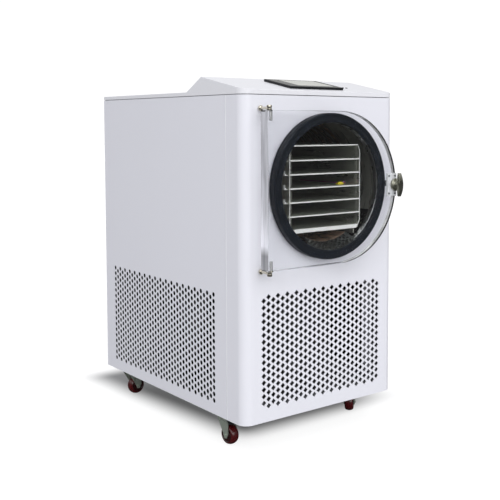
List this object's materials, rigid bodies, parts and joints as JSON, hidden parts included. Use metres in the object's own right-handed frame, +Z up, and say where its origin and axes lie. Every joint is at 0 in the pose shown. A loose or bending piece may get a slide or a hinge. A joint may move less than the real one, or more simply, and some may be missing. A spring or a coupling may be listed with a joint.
{
  "type": "freeze dryer",
  "caption": "Floor-standing freeze dryer: box cabinet on swivel casters, round vacuum chamber with a shelf rack behind a clear swinging door, sloping touch-screen console.",
  "frame": {"origin": "on the floor, under the middle of the overall box (from the latch handle at the front to the fittings at the rear)", "axes": "+X to the right seen from the front, -Y to the front (the door), +Z up"},
  "size_m": [0.5, 0.8232, 0.9285],
  "materials": {
    "white_paint": "satin powder coat, near white with a faint cool tint",
    "galvanised": "dull galvanised sheet and tube",
    "stainless": "brushed stainless steel, dark inside the chamber",
    "rack_steel": "fine brushed stainless sheet with bright edges",
    "shelf_aluminium": "plain aluminium plate",
    "copper": "dull copper tube",
    "gasket_rubber": "matte blue-black rubber",
    "door_acrylic": "clear polished acrylic",
    "latch_acrylic": "clear to frosted acrylic block",
    "nickel_brass": "nickel plate with a warm tint",
    "handle_steel": "satin stainless casting",
    "dark_steel": "blackened steel",
    "zinc_plate": "zinc plate with a greenish cast",
    "wheel_red": "dark red polyurethane, slightly glossy",
    "black_plastic": "black moulded plastic",
    "screen_glass": "pale glass of a switched-off display",
    "lamp_lens": "grey translucent lens",
    "button_metal": "dark grey metal cap",
    "radiator_aluminium": "finned aluminium",
    "compressor_black": "semi-gloss black enamel",
    "box_grey": "light grey powder coat"
  },
  "bodies": {
    "cabinet": {"base_tray": "galvanised", "caster_plate_front_left": "zinc_plate", "caster_plate_front_right": "zinc_plate", "caster_plate_rear_left": "zinc_plate", "caster_plate_rear_right": "zinc_plate", "chamber_barrel": "stainless", "chamber_end": "stainless", "chamber_flange": "stainless", "compressor": "compressor_black", "control_box": "box_grey", "door_gasket": "gasket_rubber", "evaporator_coil": "copper", "fan_motor": "dark_steel", "fan_shroud": "black_plastic", "frame": "galvanised", "front_cover": "white_paint", "hinge_bracket_lower": "nickel_brass", "hinge_bracket_upper": "nickel_brass", "hinge_pin_lower": "nickel_brass", "hinge_pin_upper": "nickel_brass", "ice_guard": "stainless", "latch_keeper": "dark_steel", "left_side_panel": "white_paint", "power_inlet": "black_plastic", "rack_rail_left": "stainless", "rack_rail_right": "stainless", "rack_side_left": "rack_steel", "rack_side_right": "rack_steel", "radiator": "radiator_aluminium", "rear_panel": "white_paint", "right_side_panel": "white_paint", "screen_bezel": "black_plastic", "screen_glass": "screen_glass", "shelf_1": "shelf_aluminium", "shelf_2": "shelf_aluminium", "shelf_3": "shelf_aluminium", "shelf_4": "shelf_aluminium", "shelf_5": "shelf_aluminium", "shelf_base": "shelf_aluminium", "shelf_top": "shelf_aluminium", "status_lamp": "lamp_lens", "top_lid": "white_paint", "vacuum_pipe": "stainless", "vacuum_port": "stainless"},
    "door": {"door_plate": "door_acrylic", "latch_block": "latch_acrylic"},
    "latch": {"latch_handle": "handle_steel", "latch_cam": "dark_steel"},
    "button": {"power_button": "button_metal"},
    "fan": {"fan": "black_plastic"},
    "fork_front_left": {"caster_fork_front_left": "zinc_plate"},
    "wheel_front_left": {"caster_wheel_front_left": "wheel_red"},
    "pedal_front_left": {"caster_pedal_front_left": "dark_steel"},
    "fork_front_right": {"caster_fork_front_right": "zinc_plate"},
    "wheel_front_right": {"caster_wheel_front_right": "wheel_red"},
    "fork_rear_left": {"caster_fork_rear_left": "zinc_plate"},
    "wheel_rear_left": {"caster_wheel_rear_left": "wheel_red"},
    "pedal_rear_left": {"caster_pedal_rear_left": "dark_steel"},
    "fork_rear_right": {"caster_fork_rear_right": "zinc_plate"},
    "wheel_rear_right": {"caster_wheel_rear_right": "wheel_red"}
  },
  "joints": [
    {"name": "door_swing", "type": "hinge", "parent": "cabinet", "child": "door", "pos_m": [-0.201, -0.36685, 0.6516], "axis": [0, 0, -1], "range_deg": [0, 120]},
    {"name": "latch_turn", "type": "hinge", "parent": "door", "child": "latch", "pos_m": [0.196, -0.3884, 0.652], "axis": [0, -1, 0], "range_deg": [0, 90]},
    {"name": "button_press", "type": "slide", "parent": "cabinet", "child": "button", "axis": [0, 0.1935, -0.9811], "range_m": [0, 0.0015], "stiffness_N_per_m": 400},
    {"name": "fan_spin", "type": "hinge", "parent": "cabinet", "child": "fan", "pos_m": [-0.04, -0.1984, 0.2333], "axis": [0, 1, 0], "continuous": true},
    {"name": "swivel_front_left", "type": "hinge", "parent": "cabinet", "child": "fork_front_left", "pos_m": [-0.214, -0.1964, 0.07], "axis": [0, 0, 1], "continuous": true},
    {"name": "roll_front_left", "type": "hinge", "parent": "fork_front_left", "child": "wheel_front_left", "pos_m": [-0.21274, -0.21436, 0.025], "axis": [0.9976, 0.0698, 0], "continuous": true},
    {"name": "brake_front_left", "type": "hinge", "parent": "fork_front_left", "child": "pedal_front_left", "pos_m": [-0.21302, -0.21037, 0.057], "axis": [0.9976, 0.0698, 0], "range_deg": [0, 12]},
    {"name": "swivel_front_right", "type": "hinge", "parent": "cabinet", "child": "fork_front_right", "pos_m": [0.214, -0.1964, 0.07], "axis": [0, 0, 1], "continuous": true},
    {"name": "roll_front_right", "type": "hinge", "parent": "fork_front_right", "child": "wheel_front_right", "pos_m": [0.20084, -0.20868, 0.025], "axis": [0.682, -0.7314, 0], "continuous": true},
    {"name": "swivel_rear_left", "type": "hinge", "parent": "cabinet", "child": "fork_rear_left", "pos_m": [-0.214, 0.3106, 0.07], "axis": [0, 0, 1], "continuous": true},
    {"name": "roll_rear_left", "type": "hinge", "parent": "fork_rear_left", "child": "wheel_rear_left", "pos_m": [-0.1961, 0.31248, 0.025], "axis": [-0.1045, 0.9945, 0], "continuous": true},
    {"name": "brake_rear_left", "type": "hinge", "parent": "fork_rear_left", "child": "pedal_rear_left", "pos_m": [-0.20008, 0.31206, 0.057], "axis": [-0.1045, 0.9945, 0], "range_deg": [0, 12]},
    {"name": "swivel_rear_right", "type": "hinge", "parent": "cabinet", "child": "fork_rear_right", "pos_m": [0.214, 0.3106, 0.07], "axis": [0, 0, 1], "continuous": true},
    {"name": "roll_rear_right", "type": "hinge", "parent": "fork_rear_right", "child": "wheel_rear_right", "pos_m": [0.223, 0.32619, 0.025], "axis": [-0.866, 0.5, 0], "continuous": true}
  ]
}
